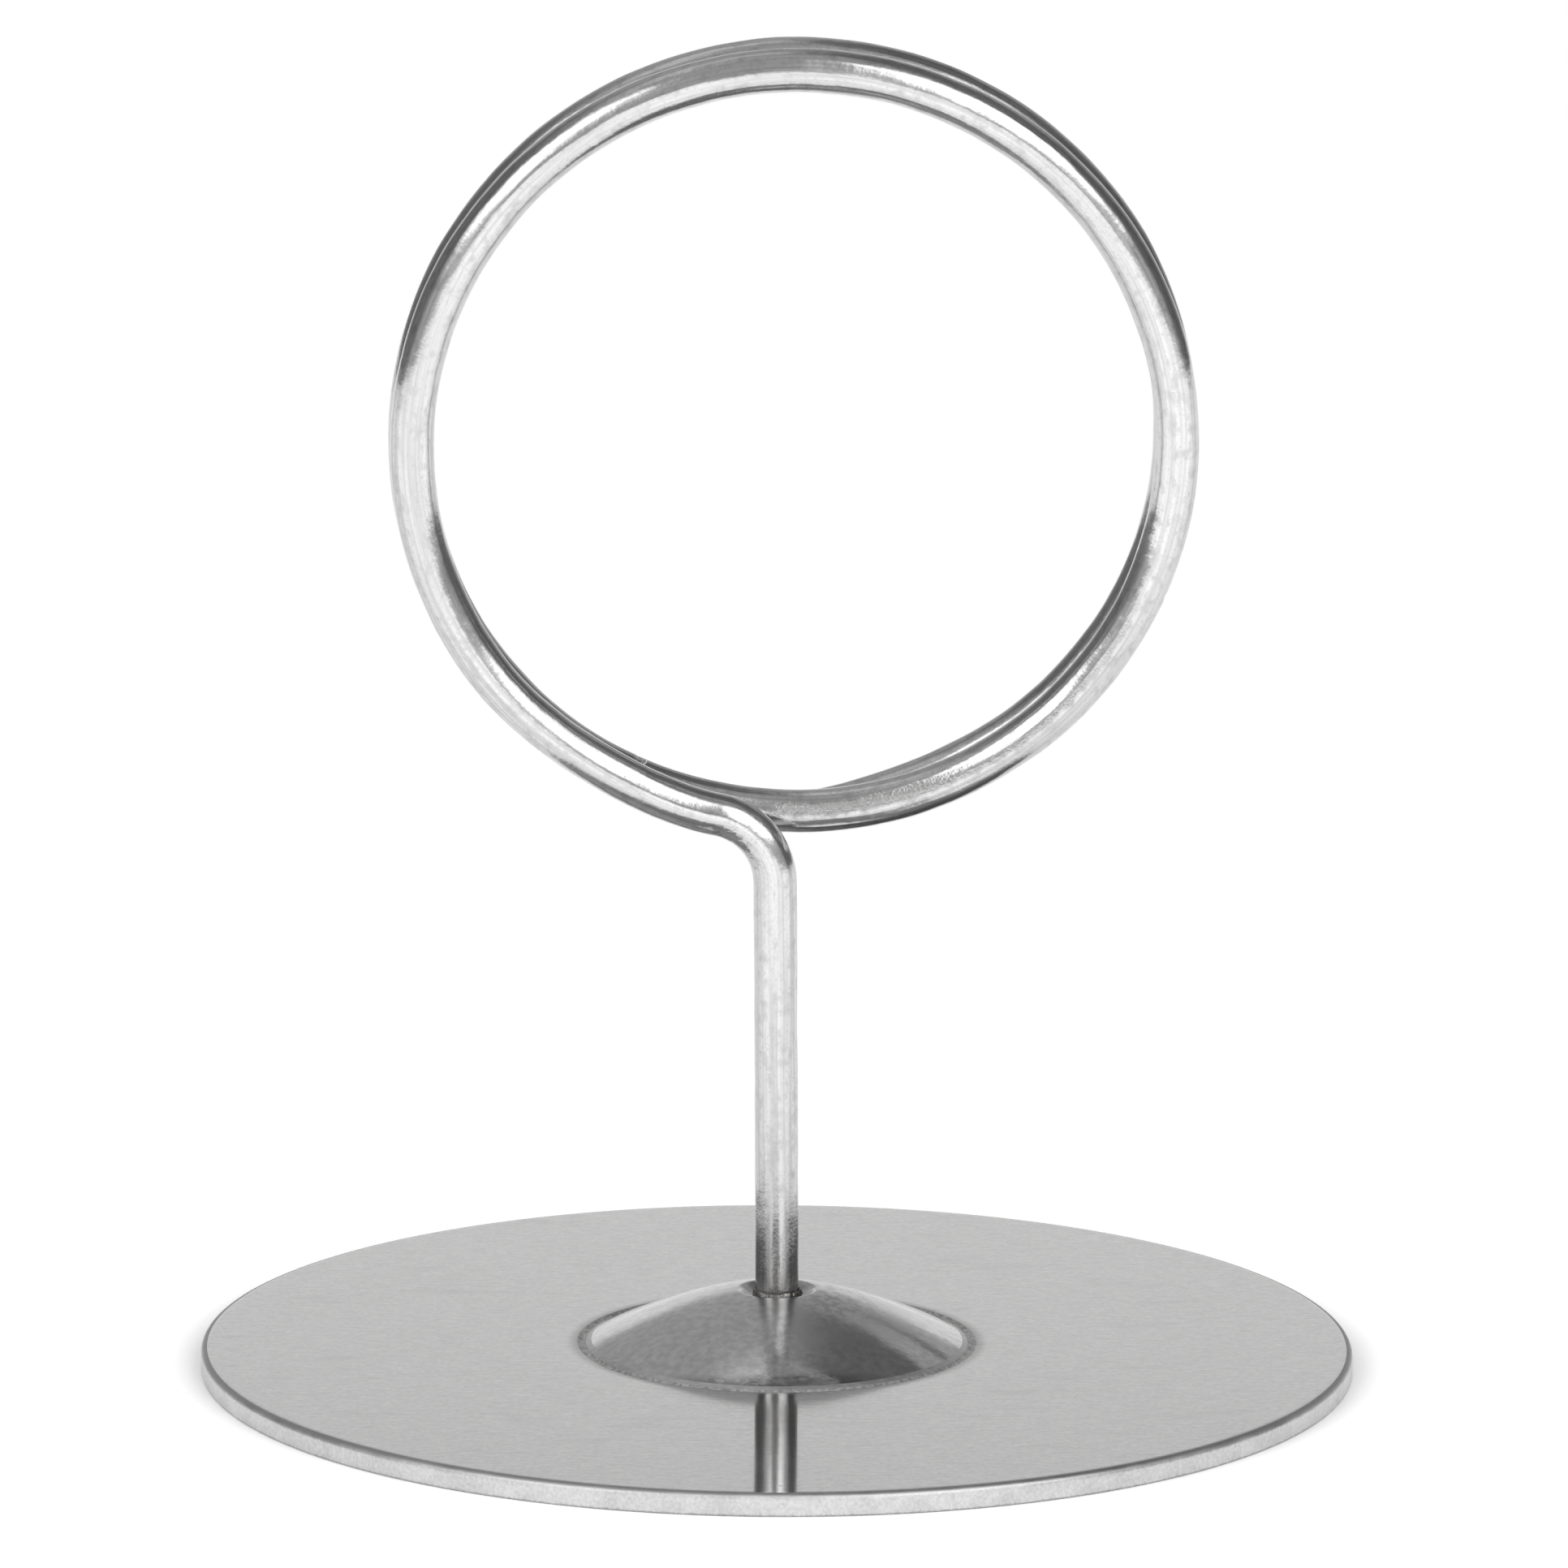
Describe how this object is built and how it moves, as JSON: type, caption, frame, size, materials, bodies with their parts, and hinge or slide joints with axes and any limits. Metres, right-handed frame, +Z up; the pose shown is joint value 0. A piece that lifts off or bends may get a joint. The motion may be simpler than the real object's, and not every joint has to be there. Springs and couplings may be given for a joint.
{
  "type": "ring card holder",
  "caption": "Table stand with a round pressed steel disc, a wire stem and a sprung wire ring that grips a card or number between its turns.",
  "frame": {"origin": "centre of the disc's underside, on the surface that the stand rests on", "axes": "+Z up along the stem, +X to the right and +Y to the back as the ring is seen from its front"},
  "size_m": [0.076, 0.076, 0.0878],
  "materials": {
    "disc_steel": "satin cold-rolled stainless sheet, lightly polished on the dome",
    "weld_steel": "dull weld flash, darkened by heat",
    "wire_steel": "bright drawn stainless wire with fine scratches along it"
  },
  "bodies": {
    "stand": {"base_disc": "disc_steel", "weld_bead": "weld_steel", "stem_and_front_turn": "wire_steel"},
    "ring_clip": {"rear_turn": "wire_steel"}
  },
  "joints": [
    {"name": "clip_spring", "type": "hinge", "parent": "stand", "child": "ring_clip", "pos_m": [0.00088, 0.00283, 0.03671], "axis": [-1, 0, 0], "range_deg": [0, 4], "stiffness_Nm_per_rad": 13}
  ]
}
